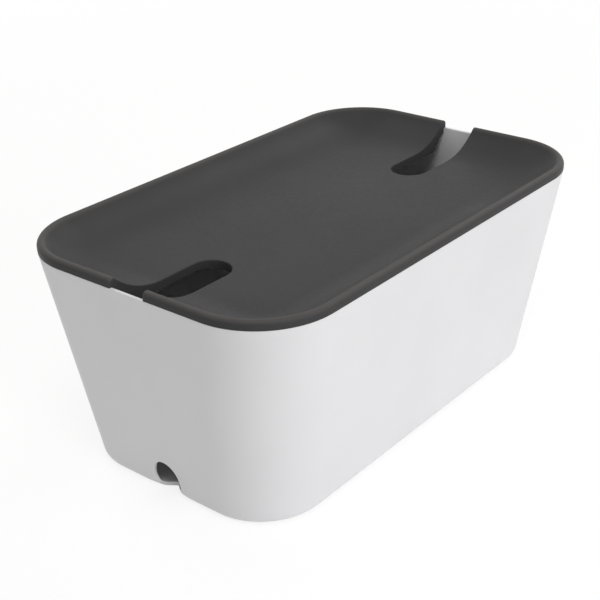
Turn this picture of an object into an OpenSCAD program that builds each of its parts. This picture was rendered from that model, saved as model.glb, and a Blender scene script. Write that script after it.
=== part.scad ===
// Cable management box. A tapered tub with large rounded corners hides a power
// strip; a dished lid lies on its rim. Cables leave through a slot at each end
// of the lid and through an arched hole at the foot of each end wall.
// Origin: middle of the footprint, on the surface that the feet stand on.
// +X runs along the length and +Z is up.

/* [Tub] */
// Length over the rim
rim_length = 305; // [270:1:400]
// Width over the rim
rim_width = 190; // [150:1:260]
// Corner radius at the rim, seen from above
rim_corner = 44.5; // [39:0.5:60]
// Corner radius at the base, seen from above
base_corner = 38; // [24:0.5:50]
// How far each end wall comes in from rim to base
end_lean = 16.5; // [6:0.5:24]
// How far each long wall comes in from rim to base
side_lean = 20.5; // [6:0.5:26]
// Height of the tub from its underside to its rim
tub_height = 127.3; // [100:0.1:180]
// Thickness of the walls
wall = 2; // [1.6:0.1:3]
// Thickness of the floor
floor_thick = 2.8; // [2:0.1:4]
// Radius of the outer edge between the walls and the underside
base_round = 3.8; // [2.5:0.1:6]

/* [Cable holes] */
// Width of the arched hole in each end wall
hole_width = 18.6; // [12:0.1:30]
// Height of the arch above the underside
hole_height = 21; // [18:0.5:32]
// Radius that flares each side of the arch out to the underside
hole_flare = 6.5; // [3:0.1:8]
// How far the floor is scooped back behind each hole
floor_scoop = 6.5; // [5:0.1:9]

/* [Lid] */
// How far the crest of the lid stands above the tub's rim
rim_rise = 5; // [4:0.1:8]
// Radius of the rounded crest
crest_round = 2.6; // [1.5:0.1:3.5]
// Depth of the tray below the crest
tray_depth = 13.9; // [8:0.1:20]
// Distance from the lid's edge to the flat bottom of the tray
tray_run = 36; // [28:0.5:38]
// Thickness of the lid's shell
lid_thick = 2; // [1.6:0.1:3]
// How far the locating lip reaches down inside the tub
lip_depth = 4; // [2:0.5:8]
// Thickness of the lip at its tip
lip_thick = 1.6; // [1.2:0.1:2.5]
// Gap between the lip and the tub's wall
lip_gap = 0.5; // [0.4:0.1:1]

/* [Cable slots] */
// Width of the slot at each end of the lid
slot_width = 23.5; // [10:0.5:40]
// How far each slot reaches in from the end of the lid
slot_reach = 71.5; // [50:0.5:110]

/* [Feet] */
// Diameter of each rubber foot
foot_width = 16; // [10:0.5:22]
// Thickness of each rubber foot
foot_thick = 1.5; // [1.2:0.1:3]
// How far each foot stands out below the tub
foot_stand = 0.8; // [0.5:0.1:1.5]
// Radius of the foot's lower edge
foot_round = 0.5; // [0.2:0.1:0.7]
// Gap round each foot in its recess
foot_gap = 0.2; // [0.1:0.1:0.5]
// Distance from the base's outline to each foot's centre, both ways
foot_inset = 28; // [24:1:40]

/* [Smoothness] */
// Steps round each corner of the tub
corner_steps = 16; // [8:1:24]
// Steps along each curve of a cross-section
curve_steps = 12; // [6:1:20]

/* [Hidden] */

// Facets of every true circle, and how far a cut runs past what it cuts
$fn = 96;
past = 1;

// Levels above the surface that the feet stand on
base_z = foot_stand;
seat_z = base_z + tub_height;
crest_z = seat_z + rim_rise;
tray_z = crest_z - tray_depth;

// Half sizes of the footprint
base_half_x = rim_length / 2 - end_lean;
base_half_y = rim_width / 2 - side_lean;
foot_x = base_half_x - foot_inset;
foot_y = base_half_y - foot_inset;

// The inside corner of the tub follows the outside one at the wall's distance
inner_round = max(base_round - wall, 0.5);

// Centres of the lid's rounded corners
lid_centre_x = rim_length / 2 - rim_corner;
lid_centre_y = rim_width / 2 - rim_corner;

white = "whitesmoke";
charcoal = "dimgray";
rubber = "darkgray";

// Points along an arc, from one angle to another
function arc(centre, radius, from, to, steps) = [
    for (i = [0:steps])
        let (a = from + (to - from) * i / steps)
        centre + radius * [cos(a), sin(a)]
];

// A rounded rectangle at height z, as points
function outline(half_x, half_y, radius, z) = [
    for (corner = [0:3])
        let (sx = corner == 0 || corner == 3 ? 1 : -1, sy = corner < 2 ? 1 : -1)
        let (centre = [sx * (half_x - radius), sy * (half_y - radius)])
        for (p = arc(centre, radius, 90 * corner, 90 * corner + 90, corner_steps))
            [p.x, p.y, z]
];

// The wall's outline at a height above the underside, drawn in by an inset
function tub_outline(height, inset) =
    let (t = height / tub_height)
    outline(
        base_half_x + end_lean * t - inset,
        base_half_y + side_lean * t - inset,
        base_corner + (rim_corner - base_corner) * t - inset,
        base_z + height
    );

// Outlines of a tub-shaped solid, from its rounded lower edge to its top
function tub_rings(inset, bottom, radius, top) = concat(
    [
        for (i = [0:curve_steps / 2])
            let (a = 90 * i / (curve_steps / 2))
            tub_outline(bottom + radius * (1 - cos(a)), inset + radius * (1 - sin(a)))
    ],
    [tub_outline(top, inset)]
);

// Solid skinned over a stack of outlines that all have the same number of points
module loft(rings) {
    n = len(rings[0]);
    last = len(rings) - 1;
    skin = [
        for (r = [0:last - 1], i = [0:n - 1])
            let (j = (i + 1) % n, low = r * n, high = (r + 1) * n)
            each [[low + i, high + i, high + j], [low + i, high + j, low + j]]
    ];
    underside = [[for (i = [0:n - 1]) i]];
    topside = [[for (i = [n - 1:-1:0]) last * n + i]];
    polyhedron(points = [for (ring = rings) each ring], faces = concat(skin, underside, topside));
}

// Arch of one cable hole: a round top, straight sides and flared feet
module hole_arch() {
    half = hole_width / 2;
    translate([0, hole_height - half])
        circle(half);
    translate([-half, -past])
        square([hole_width, hole_height - half + past]);
    difference() {
        translate([-half - hole_flare, -past])
            square([hole_width + 2 * hole_flare, hole_flare + past]);
        for (side = [-1, 1])
            translate([side * (half + hole_flare), hole_flare])
                circle(hole_flare);
    }
}

// Cut for the cable hole in the end wall at +X, with the scoop in the floor
module hole_cut() {
    half = hole_width / 2;
    scoop_r = (half * half + floor_scoop * floor_scoop) / (2 * floor_scoop);
    wall_reach = wall + inner_round;
    translate([base_half_x - wall_reach, 0, base_z])
        rotate([90, 0, 90])
            linear_extrude(wall_reach + end_lean)
                hole_arch();
    translate([base_half_x - floor_scoop + scoop_r, 0, base_z - past])
        cylinder(h = hole_height - half + past, r = scoop_r);
}

// Round recess that takes the upper part of one foot
module foot_recess() {
    translate([0, 0, base_z - past])
        cylinder(h = foot_thick - foot_stand + past, d = foot_width + 2 * foot_gap);
}

// One rubber foot with a softened lower edge
module foot() {
    edge = arc([foot_width / 2 - foot_round, foot_round], foot_round, -90, 0, curve_steps / 2);
    color(rubber)
        rotate_extrude()
            polygon(concat([[0, 0]], edge, [[foot_width / 2, foot_thick], [0, foot_thick]]));
}

// Puts its child under each corner named by the two signs
module at_foot(side_x, side_y) {
    translate([side_x * foot_x, side_y * foot_y, 0])
        children();
}

// The white tub
module tub() {
    color(white)
        difference() {
            loft(tub_rings(0, 0, base_round, tub_height));
            loft(tub_rings(wall, floor_thick, inner_round, tub_height + past));
            for (turn = [0, 180])
                rotate([0, 0, turn])
                    hole_cut();
            for (side_x = [-1, 1], side_y = [-1, 1])
                at_foot(side_x, side_y)
                    foot_recess();
        }
}

// Cross-section of the lid from a corner's centre (0) out to its edge
module lid_section() {
    flat_end = rim_corner - tray_run;
    crest = [rim_corner - crest_round, crest_z - crest_round];

    // The tray's curve is tangent to its flat bottom and to the crest
    run = crest.x - flat_end;
    rise = crest.y - tray_z;
    sweep_r = (run * run + rise * rise - crest_round * crest_round) / (2 * (rise + crest_round));
    sweep = [flat_end, tray_z + sweep_r];
    meet = atan2(crest.y - sweep.y, crest.x - sweep.x);

    // The lip's outer face leans with the tub's wall
    lean = max(end_lean, side_lean) / tub_height * lip_depth;
    lip_out = rim_corner - wall - lip_gap;
    lip_in = lip_out - lean - lip_thick;
    under_r = sweep_r + lid_thick;
    under_end = -acos((lip_in - flat_end) / under_r);

    polygon(concat(
        [[0, tray_z - lid_thick]],
        arc(sweep, under_r, -90, under_end, curve_steps),
        [
            [lip_in, seat_z - lip_depth],
            [lip_out - lean, seat_z - lip_depth],
            [lip_out, seat_z],
            [rim_corner, seat_z]
        ],
        arc(crest, crest_round, 0, 180 + meet, curve_steps),
        arc(sweep, sweep_r, meet, -90, curve_steps),
        [[0, tray_z]]
    ));
}

// The lid's section swept round its outline, with a plate across the middle
module lid_shell() {
    centres = [[1, 1], [-1, 1], [-1, -1], [1, -1]];
    for (corner = [0:3])
        translate([centres[corner].x * lid_centre_x, centres[corner].y * lid_centre_y, 0])
            rotate([0, 0, 90 * corner])
                rotate_extrude(angle = 90)
                    lid_section();
    for (turn = [0, 180])
        rotate([0, 0, turn]) {
            translate([lid_centre_x, lid_centre_y, 0])
                rotate([90, 0, 0])
                    linear_extrude(2 * lid_centre_y)
                        lid_section();
            translate([-lid_centre_x, lid_centre_y, 0])
                rotate([90, 0, 90])
                    linear_extrude(2 * lid_centre_x)
                        lid_section();
        }
    translate([-lid_centre_x, -lid_centre_y, tray_z - lid_thick])
        cube([2 * lid_centre_x, 2 * lid_centre_y, lid_thick]);
}

// Cut for the cable slot at +X: a round inner end, open through the rim
module slot_cut() {
    low = min(tray_z - lid_thick, seat_z - lip_depth) - past;
    height = crest_z + past - low;
    round_x = rim_length / 2 - slot_reach + slot_width / 2;
    translate([round_x, 0, low])
        cylinder(h = height, d = slot_width);
    translate([round_x, -slot_width / 2, low])
        cube([rim_length / 2 + past - round_x, slot_width, height]);
}

// The dark grey lid
module lid() {
    color(charcoal)
        difference() {
            lid_shell();
            for (turn = [0, 180])
                rotate([0, 0, turn])
                    slot_cut();
        }
}

tub();
lid();
at_foot(-1, -1) foot();  // foot_front_left
at_foot(1, -1) foot();  // foot_front_right
at_foot(-1, 1) foot();  // foot_rear_left
at_foot(1, 1) foot();  // foot_rear_right
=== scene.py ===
# %% [markdown]
# # A cable management box
# The real object is a white plastic tub with a dark grey lid. A power strip lies
# inside, and its cables leave through slots in the lid and holes at the foot of
# the end walls. It is two thin mouldings and four rubber feet, so almost all of
# its looks come from soft light on smooth, gently curved plastic. The solids of
# the frame have the right sizes. Here the two mouldings are skinned again with
# finer curves and the small rounded edges that catch the light.

# %% Load the frame and note its size
import bpy
import bmesh
import math
import numpy as np
from mathutils import Matrix, Vector, geometry


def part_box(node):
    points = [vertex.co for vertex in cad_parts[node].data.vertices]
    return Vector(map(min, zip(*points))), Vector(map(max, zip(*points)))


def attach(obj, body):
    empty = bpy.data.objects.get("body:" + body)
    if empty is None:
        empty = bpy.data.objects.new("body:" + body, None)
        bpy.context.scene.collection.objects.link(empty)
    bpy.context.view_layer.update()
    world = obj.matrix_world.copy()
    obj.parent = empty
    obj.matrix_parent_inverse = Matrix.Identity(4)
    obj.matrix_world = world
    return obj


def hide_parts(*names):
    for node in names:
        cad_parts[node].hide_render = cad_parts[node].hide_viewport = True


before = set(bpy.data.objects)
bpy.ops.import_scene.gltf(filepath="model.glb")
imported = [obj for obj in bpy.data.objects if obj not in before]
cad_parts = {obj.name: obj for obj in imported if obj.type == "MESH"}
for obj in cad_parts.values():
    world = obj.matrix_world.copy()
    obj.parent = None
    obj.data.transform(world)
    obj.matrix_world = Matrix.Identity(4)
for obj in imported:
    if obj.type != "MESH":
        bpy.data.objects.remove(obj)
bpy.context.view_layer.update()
MM = 0.001
print("pieces:", sorted(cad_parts))

# %% [markdown]
# ## Camera
# The photograph looks down at the near end from the front left. The lens, its
# small shift and the three directions of the view were solved from the box's
# outline, so the camera is placed by a matrix built from those directions. A
# track-to constraint would lose the slight roll.

# %% Set up the camera
IMAGE_WIDTH = 600
FOCAL_PIXELS = 1210.5
SENSOR = 36.0
CAMERA_PLACE = Vector((-0.50733, -0.41200, 0.39161))
VIEW_RIGHT = Vector((0.61408967, -0.78904028, -0.01758734))
VIEW_UP = Vector((0.36205124, 0.26183426, 0.89462938))
CENTRE_PIXEL = (333.9, 296.2)

camera_data = bpy.data.cameras.new("camera")
camera_data.sensor_width = SENSOR
camera_data.lens = SENSOR * FOCAL_PIXELS / IMAGE_WIDTH
camera_data.shift_x = (IMAGE_WIDTH / 2 - CENTRE_PIXEL[0]) / IMAGE_WIDTH
camera_data.shift_y = (CENTRE_PIXEL[1] - IMAGE_WIDTH / 2) / IMAGE_WIDTH
camera = bpy.data.objects.new("camera", camera_data)
bpy.context.scene.collection.objects.link(camera)
turn = Matrix((VIEW_RIGHT, VIEW_UP, VIEW_RIGHT.cross(VIEW_UP))).transposed()
camera.matrix_world = Matrix.Translation(CAMERA_PLACE) @ turn.to_4x4()
bpy.context.scene.camera = camera
shift = [round(value, 4) for value in (camera_data.shift_x, camera_data.shift_y)]
print("lens", round(camera_data.lens, 1), "mm, shift", shift)

# %% [markdown]
# ## Colour, world and floor
# The photograph has a pure white surround. The world and the floor are white
# only for rays that come straight from the camera or by a reflection, so the
# background stays clean without flooding the box with light. The floor keeps a
# share of plain diffuse white, which is what shows the box's soft shadow. It
# lies a hair below the feet, because two faces in one plane would flicker, and
# away from the box it fades to the backdrop's white, so that no view shows a
# horizon.

# %% Nodes that ask what kind of ray it is
bpy.context.scene.view_settings.view_transform = "Standard"


def seen_directly(tree):
    """A socket that is 1 for camera, glossy and transmission rays, else 0."""
    path = tree.nodes.new("ShaderNodeLightPath")
    seen = path.outputs["Is Camera Ray"]
    for other in ("Is Glossy Ray", "Is Transmission Ray"):
        either = tree.nodes.new("ShaderNodeMath")
        either.operation = "MAXIMUM"
        tree.links.new(seen, either.inputs[0])
        tree.links.new(path.outputs[other], either.inputs[1])
        seen = either.outputs[0]
    return seen


# %% White world that lights the box gently
AMBIENT = 0.31
AMBIENT_TONE = (1.0, 1.0, 0.995, 1.0)

world = bpy.data.worlds.new("studio")
bpy.context.scene.world = world
world.use_nodes = True
sky = world.node_tree
sky.nodes.clear()
ambient = sky.nodes.new("ShaderNodeBackground")
ambient.inputs["Color"].default_value = AMBIENT_TONE
ambient.inputs["Strength"].default_value = AMBIENT
backdrop = sky.nodes.new("ShaderNodeBackground")
backdrop.inputs["Color"].default_value = (1.0, 1.0, 1.0, 1.0)
backdrop.inputs["Strength"].default_value = 1.0
choose = sky.nodes.new("ShaderNodeMixShader")
sky_out = sky.nodes.new("ShaderNodeOutputWorld")
sky.links.new(seen_directly(sky), choose.inputs["Fac"])
sky.links.new(ambient.outputs[0], choose.inputs[1])
sky.links.new(backdrop.outputs[0], choose.inputs[2])
sky.links.new(choose.outputs[0], sky_out.inputs["Surface"])
print("world lights the box at", AMBIENT, "and shows as white")

# %% Floor that stays white and takes the shadow
FLOOR_SIZE = 12.0
FLOOR_SHADOWED_SHARE = 0.26
FLOOR_BOUNCE = 0.95
FLOOR_GLOW = 0.80
FLOOR_DROP = 0.00005
FADE_START = 0.3
FADE_END = 1.3

floor_data = bpy.data.meshes.new("floor")
half_floor = FLOOR_SIZE / 2
corners = [
    (x * half_floor, y * half_floor, -FLOOR_DROP)
    for x, y in ((-1, -1), (1, -1), (1, 1), (-1, 1))
]
floor_data.from_pydata(corners, [], [(0, 1, 2, 3)])
floor = bpy.data.objects.new("floor", floor_data)
bpy.context.scene.collection.objects.link(floor)

paper = bpy.data.materials.new("white_paper")
paper.use_nodes = True
tree = paper.node_tree
tree.nodes.clear()
bounce = tree.nodes.new("ShaderNodeBsdfDiffuse")
bounce.inputs["Color"].default_value = (FLOOR_BOUNCE,) * 3 + (1.0,)
shadowed = tree.nodes.new("ShaderNodeBsdfDiffuse")
shadowed.inputs["Color"].default_value = (FLOOR_SHADOWED_SHARE,) * 3 + (1.0,)
glow = tree.nodes.new("ShaderNodeEmission")
glow.inputs["Strength"].default_value = FLOOR_GLOW
both = tree.nodes.new("ShaderNodeAddShader")
place = tree.nodes.new("ShaderNodeTexCoord")
distance = tree.nodes.new("ShaderNodeVectorMath")
distance.operation = "LENGTH"
faded = tree.nodes.new("ShaderNodeMapRange")
faded.interpolation_type = "SMOOTHSTEP"
faded.inputs["From Min"].default_value = FADE_START
faded.inputs["From Max"].default_value = FADE_END
far_white = tree.nodes.new("ShaderNodeEmission")
far_white.inputs["Strength"].default_value = 1.0
seen = tree.nodes.new("ShaderNodeMixShader")
choose = tree.nodes.new("ShaderNodeMixShader")
out = tree.nodes.new("ShaderNodeOutputMaterial")
tree.links.new(shadowed.outputs[0], both.inputs[0])
tree.links.new(glow.outputs[0], both.inputs[1])
tree.links.new(seen_directly(tree), choose.inputs["Fac"])
tree.links.new(bounce.outputs[0], choose.inputs[1])
tree.links.new(place.outputs["Object"], distance.inputs[0])
tree.links.new(distance.outputs["Value"], faded.inputs["Value"])
tree.links.new(faded.outputs["Result"], seen.inputs["Fac"])
tree.links.new(both.outputs[0], seen.inputs[1])
tree.links.new(far_white.outputs[0], seen.inputs[2])
tree.links.new(seen.outputs[0], choose.inputs[2])
tree.links.new(choose.outputs[0], out.inputs["Surface"])
floor_data.materials.append(paper)
print("floor", FLOOR_SIZE, "m square, fading to white from", FADE_START, "to", FADE_END, "m")

# %% [markdown]
# ## Soft lamps
# In the photograph the long wall is brightest, the end wall about half as
# bright, and the rim of the lid carries a thin highlight. That is one large
# soft light before the long wall, two weaker ones overhead that draw the line
# along the rim, one above the camera that reaches into the slots, and the
# world's fill.

# %% Softboxes
BOX_MIDDLE = Vector((0, 0, 0.07))


def softbox(name, place, width, power, colour):
    """A square area lamp, in metres and watts, aimed at the middle of the box."""
    data = bpy.data.lights.new(name, "AREA")
    data.size = width
    data.energy = power
    data.color = colour
    lamp = bpy.data.objects.new(name, data)
    lamp.location = place
    aim = BOX_MIDDLE - Vector(place)
    lamp.rotation_euler = aim.to_track_quat("-Z", "Y").to_euler()
    bpy.context.scene.collection.objects.link(lamp)


COOL = (0.99, 0.985, 1.0)
WARM = (1.0, 0.985, 0.965)
NEUTRAL = (1.0, 0.99, 0.99)

softbox("key_front", (0.0, -2.0, 0.4), 2.0, 26, COOL)
softbox("overhead_right", (1.25, 0.0, 1.4), 0.6, 5, WARM)
softbox("overhead_back", (0.1, 1.05, 1.5), 0.55, 3.5, WARM)
softbox("above_camera", (-0.55, -0.5, 1.5), 0.6, 5.5, NEUTRAL)

# %% [markdown]
# ## Helpers for skinning a moulding
# Both mouldings are symmetric about two planes, so each is skinned as one
# quarter and mirrored twice. A quarter is a list of faces given by their
# corners; faces that share a corner are welded afterwards. Weighted normals
# keep the large flat faces flat beside the tiny rounded edges.

# %% From faces to a mirrored, smooth object
WELD = 0.002
SMOOTH_ANGLE = math.radians(32)


def strip(row_a, row_b):
    """Quads between two rows of points of the same length."""
    return [[row_a[i], row_b[i], row_b[i + 1], row_a[i + 1]] for i in range(len(row_a) - 1)]


def quarter_object(name, faces):
    """Welds a quarter's faces, in millimetres, and mirrors them about X and Y."""
    shell = bmesh.new()
    for face in faces:
        shell.faces.new([shell.verts.new([c * MM for c in point]) for point in face])
    bmesh.ops.remove_doubles(shell, verts=shell.verts, dist=WELD * MM)
    bmesh.ops.dissolve_degenerate(shell, edges=shell.edges, dist=WELD * MM)
    bmesh.ops.recalc_face_normals(shell, faces=shell.faces)
    mesh = bpy.data.meshes.new(name)
    shell.to_mesh(mesh)
    shell.free()
    piece = bpy.data.objects.new(name, mesh)
    bpy.context.scene.collection.objects.link(piece)
    mirror = piece.modifiers.new("other_three_quarters", "MIRROR")
    mirror.use_axis = (True, True, False)
    mirror.merge_threshold = WELD * MM
    for polygon in mesh.polygons:
        polygon.use_smooth = True
    mesh.set_sharp_from_angle(angle=SMOOTH_ANGLE)
    flats = piece.modifiers.new("keep_flats_flat", "WEIGHTED_NORMAL")
    flats.keep_sharp = True
    return piece


# %% [markdown]
# ## The tub
# The tub is a thin tapered wall with a large corner radius that grows slightly
# towards the rim. Every level is a rounded rectangle, and it is given by a
# height and by how far it is drawn in from the wall's outline. A list of such
# levels runs under the base, up outside, over the rim and down inside.

# %% Sizes of the tub, in millimetres
tub_low, tub_high = (np.array(corner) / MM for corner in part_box("tub"))
TUB_BASE = tub_low[2]
TUB_HEIGHT = tub_high[2] - tub_low[2]
RIM_HALF_X, RIM_HALF_Y = tub_high[0], tub_high[1]
END_LEAN = 16.5
SIDE_LEAN = 20.5
RIM_CORNER = 44.5
BASE_CORNER = 38.0
WALL = 2.0
FLOOR_THICK = 2.8
BASE_ROUND = 3.8
INNER_ROUND = 1.8
RIM_EDGE = 0.35
tub_size = [round(float(v), 1) for v in (2 * RIM_HALF_X, 2 * RIM_HALF_Y, TUB_HEIGHT)]
print("tub's length, width and height in mm:", tub_size)

# %% Columns of the tub's quarter, from the end wall to the long wall
PATCH_SHARE = 0.56
END_STOPS = [0.0, 0.14, 0.28, 0.42, PATCH_SHARE, 0.7, 0.85, 1.0]
CORNER_STEPS = 28
SIDE_STEPS = 6
PATCH_COLUMN = END_STOPS.index(PATCH_SHARE)
print(len(END_STOPS) + CORNER_STEPS + SIDE_STEPS, "columns in each quarter ring")


def tub_ring(height, inset):
    """A quarter of the tub's outline at a height above its base, drawn in by an inset."""
    share = height / TUB_HEIGHT
    half_x = RIM_HALF_X - END_LEAN * (1 - share) - inset
    half_y = RIM_HALF_Y - SIDE_LEAN * (1 - share) - inset
    radius = BASE_CORNER + (RIM_CORNER - BASE_CORNER) * share - inset
    straight_x, straight_y = half_x - radius, half_y - radius
    z = TUB_BASE + height
    end = [(half_x, stop * straight_y, z) for stop in END_STOPS]
    corner = [
        (straight_x + radius * math.cos(a), straight_y + radius * math.sin(a), z)
        for a in np.linspace(0, math.pi / 2, CORNER_STEPS + 1)[1:]
    ]
    side = [(straight_x * (1 - i / SIDE_STEPS), half_y, z) for i in range(1, SIDE_STEPS + 1)]
    return end + corner + side


# %% Levels of the tub: matching pairs outside and inside
ROUND_STEPS = 8
FLAT_EDGE = 10.0
PATCH_TOP = 34.0
WALL_STOPS = [12.0, 22.0, PATCH_TOP, 60.0, 95.0]


def tub_levels(bottom, inset, radius):
    """Levels of one side of the wall: a flat edge, a rounded one, then straight up."""
    angles = np.linspace(0, math.pi / 2, ROUND_STEPS + 1)
    rounded = [
        (bottom + radius * (1 - math.cos(a)), inset + radius * (1 - math.sin(a))) for a in angles
    ]
    return [(bottom, FLAT_EDGE)] + rounded + [(height, inset) for height in WALL_STOPS]


outer_levels = tub_levels(0, 0, BASE_ROUND)
inner_levels = tub_levels(FLOOR_THICK, WALL, INNER_ROUND)
FIRST_WALL_ROW = 1 + ROUND_STEPS
PATCH_ROW = FIRST_WALL_ROW + 1 + WALL_STOPS.index(PATCH_TOP)
print(len(outer_levels), "levels each side, hole region up to level", PATCH_ROW)

# %% Rim: a flat seat between two tiny rounded edges
RIM_EDGE_STEPS = 3

rim_outside = [
    (TUB_HEIGHT - RIM_EDGE * (1 - math.sin(a)), RIM_EDGE * (1 - math.cos(a)))
    for a in np.linspace(0, math.pi / 2, RIM_EDGE_STEPS + 1)
]
rim_inside = [(height, WALL - inset) for height, inset in reversed(rim_outside)]
print("flat of the rim:", round(WALL - 2 * RIM_EDGE, 2), "mm wide")

# %% Skin of the tub, leaving out the region of the cable hole
outer_rings = [tub_ring(*level) for level in outer_levels]
inner_rings = [tub_ring(*level) for level in inner_levels]
rim_rings = [tub_ring(*level) for level in rim_outside + rim_inside]
rim_rings = [outer_rings[-1]] + rim_rings + [inner_rings[-1]]

tub_faces = []
for rings in (outer_rings, inner_rings):
    for row in range(len(rings) - 1):
        first = PATCH_COLUMN if row < PATCH_ROW else 0
        tub_faces += strip(rings[row][first:], rings[row + 1][first:])
for row in range(len(rim_rings) - 1):
    tub_faces += strip(rim_rings[row], rim_rings[row + 1])
print("tub skin:", len(tub_faces), "faces")

# %% [markdown]
# ## The cable hole
# Each end wall has an arched hole that runs down into the foot of the wall. Its
# edge is rolled inwards like the bell of a trumpet, so that it doesn't chafe a
# cable. Outside it starts as a mouth that flares out to the underside, and
# inside it ends as a narrower throat. Both run out in a soft point in the floor.
# If the wall, the rounded lower edge and the floor are unrolled into one flat
# strip, mouth and throat are two outlines in it. The strip is filled with
# triangles round each of them and rolled back up, and rows of faces join the
# two. A boolean cut could not give this edge.

# %% Unrolled strip: y across, s along the outer surface from the floor up the wall
strip_x = np.array([ring[0][0] for ring in outer_rings])
strip_z = np.array([ring[0][2] for ring in outer_rings])
inside_x = np.array([ring[0][0] for ring in inner_rings])
inside_z = np.array([ring[0][2] for ring in inner_rings])
inside_width = np.array([
    inner[PATCH_COLUMN][1] / outer[PATCH_COLUMN][1]
    for inner, outer in zip(inner_rings, outer_rings)
])
strip_s = np.concatenate([[0], np.cumsum(np.hypot(np.diff(strip_x), np.diff(strip_z)))])
FOOT_S = float(strip_s[FIRST_WALL_ROW])


def along(z):
    """Distance s along the strip of a point on the wall at height z."""
    return float(np.interp(z, strip_z[FIRST_WALL_ROW:], strip_s[FIRST_WALL_ROW:]))


def rolled(y, s, depth):
    """Point over the strip, from the outer surface (depth 0) to the inner one (1)."""
    outer = np.array([np.interp(s, strip_s, strip_x), y, np.interp(s, strip_s, strip_z)])
    inner_y = y * np.interp(s, strip_s, inside_width)
    inner = np.array([np.interp(s, strip_s, inside_x), inner_y, np.interp(s, strip_s, inside_z)])
    return outer + (inner - outer) * depth


print("strip:", round(float(strip_s[PATCH_ROW]), 1), "mm long, wall begins at", round(FOOT_S, 1))

# %% Smooth outlines, from the top of the hole down to the floor
ARCH_MIDDLE = 10.6
ARCH_ANGLES = np.radians([0, 22.5, 45, 67.5, 90])
CURVE_STEPS = 6


def arch(half_width, rise):
    """Upper part of an outline: half of a slightly tall round arch."""
    return [
        (half_width * math.sin(a), along(ARCH_MIDDLE + rise * math.cos(a))) for a in ARCH_ANGLES
    ]


def curve_through(points):
    """Smooth curve through points whose ends lie on the strip's middle line."""
    before, after = points[1], points[-2]
    ends = [(-before[0], before[1])] + points + [(-after[0], after[1])]
    result = []
    for a, b, c, d in zip(ends, ends[1:], ends[2:], ends[3:]):
        for t in np.linspace(0, 1, CURVE_STEPS + 1)[:-1]:
            result.append(tuple(
                0.5 * (2 * b[k] + (c[k] - a[k]) * t + (2 * a[k] - 5 * b[k] + 4 * c[k] - d[k]) * t**2
                       + (3 * b[k] - a[k] - 3 * c[k] + d[k]) * t**3)
                for k in (0, 1)
            ))
    return np.array(result + [points[-1]])


def hole_outline(half_width, rise, tail):
    """Outline from the arch's top down: the tail is given across and from the wall's foot."""
    return curve_through(arch(half_width, rise) + [(y, FOOT_S + s) for y, s in tail])


# %% Mouth and throat, as matching points
MOUTH_TAIL = [
    (10.4, 4.4), (10.8, 3.0), (11.7, 1.7), (13.0, 0.6), (14.6, -0.7), (16.2, -2.0),
    (16.9, -3.2), (15.2, -4.3), (11.4, -4.8), (8.0, -5.3), (5.2, -6.5), (2.7, -8.2), (0.0, -9.6),
]
THROAT_TAIL = [
    (9.4, 4.8), (9.3, 3.8), (9.15, 2.9), (8.9, 2.1), (8.6, 1.3), (8.2, 0.4), (7.8, -0.7),
    (7.2, -2.1), (6.4, -3.6), (5.3, -5.2), (3.9, -6.7), (2.1, -8.2), (0.0, -9.4),
]

mouth = hole_outline(10.2, 10.9, MOUTH_TAIL)
throat = hole_outline(9.3, 10.2, THROAT_TAIL)
widths = [round(float(2 * line[:, 0].max()), 1) for line in (mouth, throat)]
print("widths of mouth and throat in mm:", widths)

# %% Fill the strip round an outline with triangles
ROW_GAP = 0.3
INSIDE_ONLY = 1
FILL_TOLERANCE = 1e-4


def reach_at(line, s):
    """How far an outline reaches across the strip at s, or 0 where it doesn't."""
    a, b = line[:-1], line[1:]
    spans = (a[:, 1] > s) != (b[:, 1] > s)
    (y_a, s_a), (y_b, s_b) = a[spans].T, b[spans].T
    crossing = y_a + (s - s_a) * (y_b - y_a) / (s_b - s_a)
    return crossing.max() if len(crossing) else 0.0


def middle_of(verts, tri):
    """Middle of a triangle given by three indices."""
    return sum((verts[i] for i in tri), Vector((0, 0))) / 3


def grown(line, distance):
    """An outline moved outwards."""
    tangent = np.gradient(line, axis=0)
    tangent /= np.hypot(*tangent.T)[:, None]
    outward = np.stack([-tangent[:, 1], tangent[:, 0]], axis=1)
    outward[0], outward[-1] = (0, 1), (0, -1)
    return line + outward * distance


def strip_round(line, distances):
    """Points and triangles of the strip outside an outline, with lines beside it."""
    points, edges = [], []

    def add(chain, closed=False):
        start, count = len(points), len(chain)
        points.extend(Vector((float(p[0]), float(p[1]))) for p in chain)
        last = count if closed else count - 1
        edges.extend((start + i, start + (i + 1) % count) for i in range(last))

    right = [(outer_rings[row][PATCH_COLUMN][1], strip_s[row]) for row in range(PATCH_ROW + 1)]
    floor_end, top_end = (
        [(outer_rings[row][column][1], strip_s[row]) for column in range(PATCH_COLUMN)]
        for row in (0, PATCH_ROW)
    )
    add(floor_end + right + top_end[::-1], closed=True)
    for row in range(1, PATCH_ROW):
        reach = reach_at(line, strip_s[row])
        add([(reach + ROW_GAP if reach else 0.0, strip_s[row]), right[row]])
    add(line)
    for distance in distances:
        add(grown(line, distance))
    verts, _, tris, *_ = geometry.delaunay_2d_cdt(points, edges, [], INSIDE_ONLY, FILL_TOLERANCE)
    kept = []
    for tri in tris:
        middle = middle_of(verts, tri)
        if middle.x > 0 and middle.x > reach_at(line, middle.y):
            kept.append(tri)
    return verts, kept


# %% Outer and inner surface round the hole, and the rolled edge between them
ROLL_STEPS = 9
# Extra lines beside each outline keep its triangles even
BESIDE_MOUTH = (0.6, 1.4)
BESIDE_THROAT = (0.5,)

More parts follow.
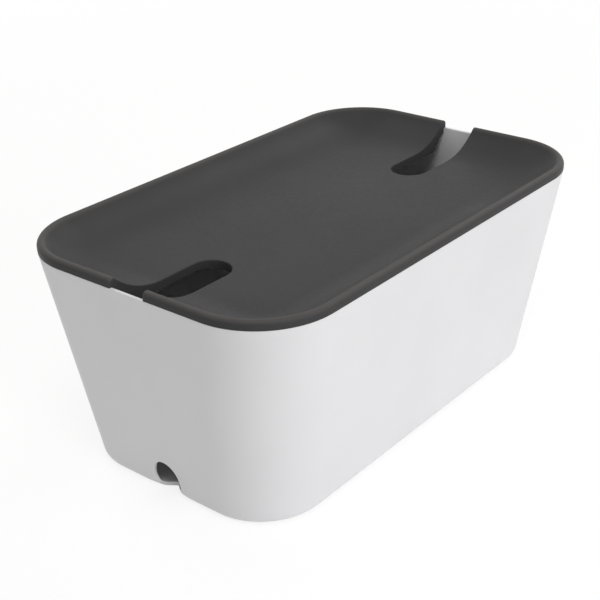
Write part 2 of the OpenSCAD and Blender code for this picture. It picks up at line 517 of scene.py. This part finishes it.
for line, distances, depth in ((mouth, BESIDE_MOUTH, 0), (throat, BESIDE_THROAT, 1)):
    verts, kept = strip_round(line, distances)
    surface = [rolled(v.x, v.y, depth) for v in verts]
    tub_faces += [[surface[i] for i in tri] for tri in kept]
    print("depth", depth, "has", len(kept), "triangles")
roll_rows = []
for angle in np.linspace(0, math.pi / 2, ROLL_STEPS + 1):
    line = mouth + (throat - mouth) * math.sin(angle)
    roll_rows.append([rolled(y, s, 1 - math.cos(angle)) for y, s in line])
for row_a, row_b in zip(roll_rows, roll_rows[1:]):
    tub_faces += strip(row_a, row_b)
print("rolled edge:", ROLL_STEPS, "rows of", len(mouth) - 1, "faces")

# %% [markdown]
# ## The tub's floor
# Inside, the floor is plain and flat, so one many-sided face is enough.
# Underneath, each corner has a shallow round recess for its rubber foot. The
# flat face round that circle is triangulated, and the recess gets its own wall
# and ceiling.

# %% Floor inside and underneath, with the foot's recess
foot_low, foot_high = (np.array(corner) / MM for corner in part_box("foot_rear_right"))
foot_middle = (foot_low + foot_high) / 2
FOOT_GAP = 0.2
RECESS_RADIUS = (foot_high[0] - foot_low[0]) / 2 + FOOT_GAP
RECESS_TOP = foot_high[2]
RECESS_STEPS = 64
# A triangle whose middle lies nearer than this share of the radius is in the recess
RECESS_SHARE = 0.999

floor_middle = (0.0, 0.0, TUB_BASE + FLOOR_THICK)
tub_faces.append([floor_middle] + [(p[0], p[1], floor_middle[2]) for p in inner_rings[0]])
recess = [
    (foot_middle[0] + RECESS_RADIUS * math.cos(a), foot_middle[1] + RECESS_RADIUS * math.sin(a))
    for a in np.linspace(0, 2 * math.pi, RECESS_STEPS + 1)[:-1]
]
outline = [(0.0, 0.0)] + [(p[0], p[1]) for p in outer_rings[0]]
points = [Vector(p) for p in outline + recess]
first = len(outline)
edges = [(i, (i + 1) % first) for i in range(first)]
edges += [(first + i, first + (i + 1) % RECESS_STEPS) for i in range(RECESS_STEPS)]
verts, _, tris, *_ = geometry.delaunay_2d_cdt(points, edges, [], INSIDE_ONLY, FILL_TOLERANCE)
for tri in tris:
    middle = middle_of(verts, tri)
    from_foot = math.hypot(middle.x - foot_middle[0], middle.y - foot_middle[1])
    if from_foot > RECESS_RADIUS * RECESS_SHARE:
        tub_faces.append([(verts[i].x, verts[i].y, TUB_BASE) for i in tri])
lower_loop = [(x, y, TUB_BASE) for x, y in recess + recess[:1]]
upper_loop = [(x, y, RECESS_TOP) for x, y in recess + recess[:1]]
tub_faces += strip(lower_loop, upper_loop)
tub_faces.append(upper_loop[:-1])

tub = quarter_object("tub_shell", tub_faces)
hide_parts("tub")
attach(tub, "tub")
print("tub quarter:", len(tub.data.polygons), "faces")

# %% [markdown]
# ## The lid
# The lid is one thin shell. Its section starts at the seat on the tub's rim,
# rises up a short skirt, rolls over a round crest and sweeps down into a flat
# tray. The same section runs all round, so the lid is that section swept along
# the rounded outline. The two cable slots have straight sides that cross the
# crest and a round end in the flat of the tray. A boolean cut would leave their
# edges sharp, so the columns beside a slot follow its outline instead, and
# their heights draw its rounded edge.

# %% Sizes of the lid, in millimetres
lid_low, lid_high = (np.array(corner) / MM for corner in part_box("lid"))
SEAT = tub_high[2]
CREST = lid_high[2]
CREST_ROUND = 2.6
TRAY_DEPTH = 13.9
TRAY_RUN = 36.0
LID_THICK = 2.0
LIP_DEPTH = 4.0
LIP_THICK = 1.6
LIP_GAP = 0.5
SLOT_HALF = 11.75
SLOT_REACH = 71.5
SKIRT_EDGE = 0.25
SLOT_EDGE = 0.7
FLANGE_THICK = 1.6
TRAY = CREST - TRAY_DEPTH
FLAT_END = RIM_CORNER - TRAY_RUN
print("lid crest", round(CREST, 1), "tray", round(TRAY, 1), "seat", round(SEAT, 1))

# %% Section of the lid: distance out from a corner's centre, and height
SKIRT_STEPS = 3
CREST_STEPS = 14
SWEEP_STEPS = 22


def arc(centre, radius, start, stop, steps):
    """Points along an arc in the section."""
    angles = np.linspace(start, stop, steps + 1)
    return [(centre[0] + radius * math.cos(a), centre[1] + radius * math.sin(a)) for a in angles]


crest_centre = (RIM_CORNER - CREST_ROUND, CREST - CREST_ROUND)
run = crest_centre[0] - FLAT_END
rise = crest_centre[1] - TRAY
sweep_radius = (run**2 + rise**2 - CREST_ROUND**2) / (2 * (rise + CREST_ROUND))
sweep_centre = (FLAT_END, TRAY + sweep_radius)
meet = math.atan2(crest_centre[1] - sweep_centre[1], crest_centre[0] - sweep_centre[0])
foot_centre = (RIM_CORNER - SKIRT_EDGE, SEAT + SKIRT_EDGE)
skirt_foot = arc(foot_centre, SKIRT_EDGE, -math.pi / 2, 0, SKIRT_STEPS)
top_section = (
    skirt_foot
    + arc(crest_centre, CREST_ROUND, 0, math.pi + meet, CREST_STEPS)
    + arc(sweep_centre, sweep_radius, meet, -math.pi / 2, SWEEP_STEPS)[1:]
)
lean = max(END_LEAN, SIDE_LEAN) / TUB_HEIGHT * LIP_DEPTH
lip_out = RIM_CORNER - WALL - LIP_GAP
lip_in = lip_out - lean - LIP_THICK
under_radius = sweep_radius + LID_THICK
under_end = -math.acos((lip_in - FLAT_END) / under_radius)
lip = [(lip_out, SEAT), (lip_out - lean, SEAT - LIP_DEPTH), (lip_in, SEAT - LIP_DEPTH)]
under_section = lip + arc(sweep_centre, under_radius, under_end, -math.pi / 2, SWEEP_STEPS)
print("tray sweep radius", round(sweep_radius, 1), "mm")

# %% Columns of the lid's quarter, from the slot's side to the long side
SLOT_STOPS = [0.0, 0.04, 0.13, 0.26, 0.42, 0.56, 0.7, 1.2, FLANGE_THICK, 3.0]
FLANGE_COLUMN = SLOT_STOPS.index(FLANGE_THICK)
LID_END_STEPS = 6
LID_SIDE_STEPS = 8
lid_half_x, lid_half_y = lid_high[0], lid_high[1]
corner_x, corner_y = lid_half_x - RIM_CORNER, lid_half_y - RIM_CORNER
print(len(SLOT_STOPS), "columns beside the slot, out to", SLOT_STOPS[-1], "mm")


def edge_drop(distance, radius):
    """How far a rounded edge lies below the surface at a distance from the cut."""
    short = max(radius - distance, 0)
    return radius - math.sqrt(max(radius**2 - short**2, 0))


def outward_normals(section):
    """Unit normals along a section that point out of the material's top side."""
    line = np.array(section)
    tangent = np.gradient(line, axis=0)
    tangent /= np.hypot(*tangent.T)[:, None]
    return np.stack([tangent[:, 1], -tangent[:, 0]], axis=1)


def lid_row(out, z, normal, edge):
    """One row of the lid's skin: a section point swept round the quarter."""
    row = []
    for stop in SLOT_STOPS:
        drop = edge_drop(stop, edge)
        row.append((corner_x + out - normal[0] * drop, SLOT_HALF + stop, z - normal[1] * drop))
    first = SLOT_HALF + SLOT_STOPS[-1]
    for i in range(1, LID_END_STEPS + 1):
        row.append((corner_x + out, first + (corner_y - first) * i / LID_END_STEPS, z))
    for a in np.linspace(0, math.pi / 2, CORNER_STEPS + 1)[1:]:
        row.append((corner_x + out * math.cos(a), corner_y + out * math.sin(a), z))
    for i in range(1, LID_SIDE_STEPS + 1):
        row.append((corner_x * (1 - i / LID_SIDE_STEPS), corner_y + out, z))
    return row


# %% Round end of the slot, and the tray's large flat face
SLOT_ROUND_X = lid_half_x - SLOT_REACH + SLOT_HALF
END_STEPS = 24


def slot_end_rows(stops, level):
    """Rows round the slot's end, from its side to its tip; level gives each stop's height."""
    rows = []
    for a in np.linspace(math.pi / 2, math.pi, END_STEPS + 1):
        row = []
        for stop in stops:
            radius = SLOT_HALF + stop
            row.append((SLOT_ROUND_X + radius * math.cos(a), radius * math.sin(a), level(stop)))
        rows.append(row)
    return rows


def flat_face(last_row, end_rows, z):
    """The tray's large flat face: inside the swept rows and outside the slot."""
    loop = [(p[0], p[1], z) for p in last_row[len(SLOT_STOPS) - 1:]]
    loop.append((0.0, 0.0, z))
    loop += [row[-1] for row in reversed(end_rows)]
    return loop


print("slot's end is round about x =", round(SLOT_ROUND_X, 2), "mm")

# %% Rows of the lid's top and underside
# The slot's edge is rounder than the skirt's foot, so there it is drawn straight in
top_normals = outward_normals(top_section)
top_normals[:len(skirt_foot)] = (1, 0)
top_rows = [lid_row(*p, n, SLOT_EDGE) for p, n in zip(top_section, top_normals)]
under_rows = [lid_row(*p, (0, 0), 0.0) for p in under_section]
tray_ends = slot_end_rows(SLOT_STOPS, lambda stop: TRAY - edge_drop(stop, SLOT_EDGE))
below_ends = slot_end_rows(SLOT_STOPS, lambda stop: TRAY - LID_THICK)
print(len(top_rows), "rows on top and", len(under_rows), "underneath")

# %% [markdown]
# ## The slot's flange
# Below the tray each slot is bordered by a thin flange, turned down like the hem
# of a sheet, which stiffens the cut edge. Along the slot's straight side it
# rises at 45 degrees into the lip near the rim. It could be a separate strip
# pushed into the lid, but moulded plastic has no seam there. So it shares the
# columns nearest to the slot, and the lid's underside starts where it ends.
# Only this skin has it. In the frame's solid it would reach into the room that
# is kept free for plugs and cables.

# %% Lower edge of the flange, from the lip round to the slot's tip
FLANGE_DEPTH = 3.0
FLANGE_EDGE = 0.3
FLANGE_OUTER_EDGE = 0.4
FLANGE_LOW = TRAY - LID_THICK - FLANGE_DEPTH
LIP_CORNER_ROW = 2
# The rows along the slot's straight side: lip, foot of the slope, start of the round end
STRAIGHT_ROWS = 3
# Where a 45 degree slope turns level, this share of a lift is also a step inwards
HALF_TURN = math.tan(math.pi / 8)
flange_stops = SLOT_STOPS[:FLANGE_COLUMN + 1]


def flange_lift(stop):
    """How far the flange's rounded lower edge rises above its lowest line."""
    return edge_drop(stop, FLANGE_EDGE) + edge_drop(FLANGE_THICK - stop, FLANGE_OUTER_EDGE)


slope_end = corner_x + lip_in - (SEAT - LIP_DEPTH - FLANGE_LOW)
slope_row = [
    (slope_end - HALF_TURN * flange_lift(stop), SLOT_HALF + stop, FLANGE_LOW + flange_lift(stop))
    for stop in flange_stops
]
flange_end_rows = slot_end_rows(flange_stops, lambda stop: FLANGE_LOW + flange_lift(stop))
flange_rows = [under_rows[LIP_CORNER_ROW][:FLANGE_COLUMN + 1], slope_row] + flange_end_rows
print("flange reaches down to", round(FLANGE_LOW, 1), "mm")

# %% Skin of the lid, above and below
# From the lip's inner corner on, the flange takes the columns before FLANGE_COLUMN
lid_faces = []
for rows, ends, z, first, flange_from in (
    (top_rows, tray_ends, TRAY, 0, 0),
    (under_rows, below_ends, TRAY - LID_THICK, FLANGE_COLUMN, LIP_CORNER_ROW),
):
    for i, (a, b) in enumerate(zip(rows, rows[1:])):
        start = first if i >= flange_from else 0
        lid_faces += strip(a[start:], b[start:])
    lid_faces += strip(rows[-1][first:len(SLOT_STOPS)], ends[0][first:])
    for a, b in zip(ends, ends[1:]):
        lid_faces += strip(a[first:], b[first:])
    lid_faces.append(flat_face(rows[-1], ends, z))
lid_faces += strip(top_rows[0], under_rows[0])
print("lid skin:", len(lid_faces), "faces")

# %% Walls of the slot and its flange
for a, b in zip(flange_rows, flange_rows[1:]):
    lid_faces += strip(a, b)
side_top = [row[0] for row in top_rows] + [tray_ends[0][0]]
side_low = [row[0] for row in under_rows[:LIP_CORNER_ROW] + flange_rows[:STRAIGHT_ROWS]]
lid_faces.append(side_top + side_low[::-1])
lid_faces += strip([row[0] for row in tray_ends], [row[0] for row in flange_end_rows])
outer_top = [row[FLANGE_COLUMN] for row in under_rows[LIP_CORNER_ROW:] + below_ends[:1]]
outer_low = [row[-1] for row in flange_rows[1:STRAIGHT_ROWS]]
lid_faces.append(outer_top + outer_low[::-1])
end_top = [row[FLANGE_COLUMN] for row in below_ends]
lid_faces += strip(end_top, [row[-1] for row in flange_end_rows])

lid = quarter_object("lid_shell", lid_faces)
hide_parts("lid")
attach(lid, "lid")
print("lid quarter:", len(lid.data.polygons), "faces")

# %% [markdown]
# ## Finishes
# The tub is white plastic with the very fine, even texture of an eroded mould,
# so it reflects softly. The lid is matt dark grey with a slightly coarser
# grain. Both get a faint drift in tone, because moulded plastic is never
# perfectly even, and the noise is measured in millimetres of the real object.
# An even colour would look like computer graphics. An image texture would need
# a file and would show its seams on the curves.

# %% Helpers for moulded plastic
# Nearly all values of a noise lie between these two
NOISE_LOW = 0.3
NOISE_HIGH = 0.7


def new_finish(name):
    """A material with a principled shader, its tree and coordinates in metres."""
    finish = bpy.data.materials.new(name)
    finish.use_nodes = True
    tree = finish.node_tree
    shader = tree.nodes["Principled BSDF"]
    place = tree.nodes.new("ShaderNodeTexCoord")
    return finish, tree, shader, place.outputs["Object"]


def grain(tree, place, size, detail):
    """Noise with features of a size in millimetres."""
    noise = tree.nodes.new("ShaderNodeTexNoise")
    noise.inputs["Scale"].default_value = 1 / (size * MM)
    noise.inputs["Detail"].default_value = detail
    tree.links.new(place, noise.inputs["Vector"])
    return noise.outputs["Fac"]


def spread(tree, value, low, high):
    """Spreads a noise over the given range."""
    ranged = tree.nodes.new("ShaderNodeMapRange")
    ranged.inputs["From Min"].default_value = NOISE_LOW
    ranged.inputs["From Max"].default_value = NOISE_HIGH
    ranged.inputs["To Min"].default_value = low
    ranged.inputs["To Max"].default_value = high
    tree.links.new(value, ranged.inputs["Value"])
    return ranged.outputs["Result"]


def tone(tree, value, dark, light):
    """Colour between two tones, led by a value from 0 to 1."""
    mix = tree.nodes.new("ShaderNodeMix")
    mix.data_type = "RGBA"
    mix.inputs["A"].default_value = dark + (1.0,)
    mix.inputs["B"].default_value = light + (1.0,)
    tree.links.new(value, mix.inputs["Factor"])
    return mix.outputs["Result"]


def bump(tree, value, height, normal=None):
    """Bump of a height in millimetres, on top of an earlier one."""
    node = tree.nodes.new("ShaderNodeBump")
    node.inputs["Strength"].default_value = 1.0
    node.inputs["Distance"].default_value = height * MM
    tree.links.new(value, node.inputs["Height"])
    if normal is not None:
        tree.links.new(normal, node.inputs["Normal"])
    return node.outputs["Normal"]


# %% White moulded plastic
WHITE_TONES = (0.80, 0.80, 0.81), (0.83, 0.83, 0.84)
WHITE_ROUGHNESS = 0.44, 0.52
RIPPLE_HEIGHT = 0.05
WHITE_GRAIN_HEIGHT = 0.006

white, tree, shader, place = new_finish("white_plastic")
drift = spread(tree, grain(tree, place, 60.0, 2.0), 0.0, 1.0)
tree.links.new(tone(tree, drift, *WHITE_TONES), shader.inputs["Base Color"])
fine = grain(tree, place, 0.35, 2.0)
patchy = spread(tree, grain(tree, place, 4.0, 3.0), *WHITE_ROUGHNESS)
tree.links.new(patchy, shader.inputs["Roughness"])
ripple = bump(tree, grain(tree, place, 35.0, 1.0), RIPPLE_HEIGHT)
tree.links.new(bump(tree, fine, WHITE_GRAIN_HEIGHT, ripple), shader.inputs["Normal"])
tub.data.materials.append(white)
print(white.name, "has", len(tree.nodes), "nodes")

# %% Matt dark grey plastic, with a painted highlight along the crest: a slightly paler and warmer line
CHARCOAL_TONES = (0.054, 0.0535, 0.054), (0.060, 0.0595, 0.060)
CHARCOAL_ROUGHNESS = 0.38, 0.46
CHARCOAL_SHINE = 0.06
CHARCOAL_GRAIN_HEIGHT = 0.012
# The crest's paler, warmer tone is a painted highlight, standing in for the lamps' sheen on the
# round crest
CREST_HIGHLIGHT_TONE = (0.090, 0.0865, 0.084, 1.0)
CREST_HIGHLIGHT_START = CREST - 2.2
CREST_HIGHLIGHT_FULL = CREST

charcoal, tree, shader, place = new_finish("charcoal_plastic")
drift = spread(tree, grain(tree, place, 45.0, 2.0), 0.0, 1.0)
even = tone(tree, drift, *CHARCOAL_TONES)
split = tree.nodes.new("ShaderNodeSeparateXYZ")
tree.links.new(place, split.inputs["Vector"])
# Share of the painted highlight, rising from none to full towards the top of the crest
crest_highlight_share = tree.nodes.new("ShaderNodeMapRange")
crest_highlight_share.interpolation_type = "SMOOTHSTEP"
crest_highlight_share.inputs["From Min"].default_value = CREST_HIGHLIGHT_START * MM
crest_highlight_share.inputs["From Max"].default_value = CREST_HIGHLIGHT_FULL * MM
tree.links.new(split.outputs["Z"], crest_highlight_share.inputs["Value"])
crest_highlight_mix = tree.nodes.new("ShaderNodeMix")
crest_highlight_mix.data_type = "RGBA"
crest_highlight_mix.inputs["B"].default_value = CREST_HIGHLIGHT_TONE
tree.links.new(crest_highlight_share.outputs["Result"], crest_highlight_mix.inputs["Factor"])
tree.links.new(even, crest_highlight_mix.inputs["A"])
tree.links.new(crest_highlight_mix.outputs["Result"], shader.inputs["Base Color"])
patchy = spread(tree, grain(tree, place, 3.0, 3.0), *CHARCOAL_ROUGHNESS)
tree.links.new(patchy, shader.inputs["Roughness"])
shader.inputs["Specular IOR Level"].default_value = CHARCOAL_SHINE
fine = grain(tree, place, 0.5, 3.0)
tree.links.new(bump(tree, fine, CHARCOAL_GRAIN_HEIGHT), shader.inputs["Normal"])
lid.data.materials.append(charcoal)
print(charcoal.name, "has", len(tree.nodes), "nodes")

# %% [markdown]
# ## The feet
# Four thin rubber pads keep the box from sliding. The frame's own solids have
# the right shape and a softened edge, so they stay, and only get a finish. It
# is dull grey rubber, with a tone that varies over a few millimetres and a
# grain that is as fine as the plastic's but deeper.

# %% Grey rubber of the feet
RUBBER_TONES = (0.13, 0.13, 0.135), (0.17, 0.17, 0.175)
RUBBER_ROUGHNESS = 0.8
RUBBER_GRAIN_HEIGHT = 0.02

rubber, tree, shader, place = new_finish("grey_rubber")
drift = spread(tree, grain(tree, place, 2.0, 3.0), 0.0, 1.0)
tree.links.new(tone(tree, drift, *RUBBER_TONES), shader.inputs["Base Color"])
shader.inputs["Roughness"].default_value = RUBBER_ROUGHNESS
fine = grain(tree, place, 0.3, 2.0)
tree.links.new(bump(tree, fine, RUBBER_GRAIN_HEIGHT), shader.inputs["Normal"])
for name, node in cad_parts.items():
    if name.startswith("foot"):
        node.data.materials.clear()
        node.data.materials.append(rubber)
        print(name, "is", rubber.name)
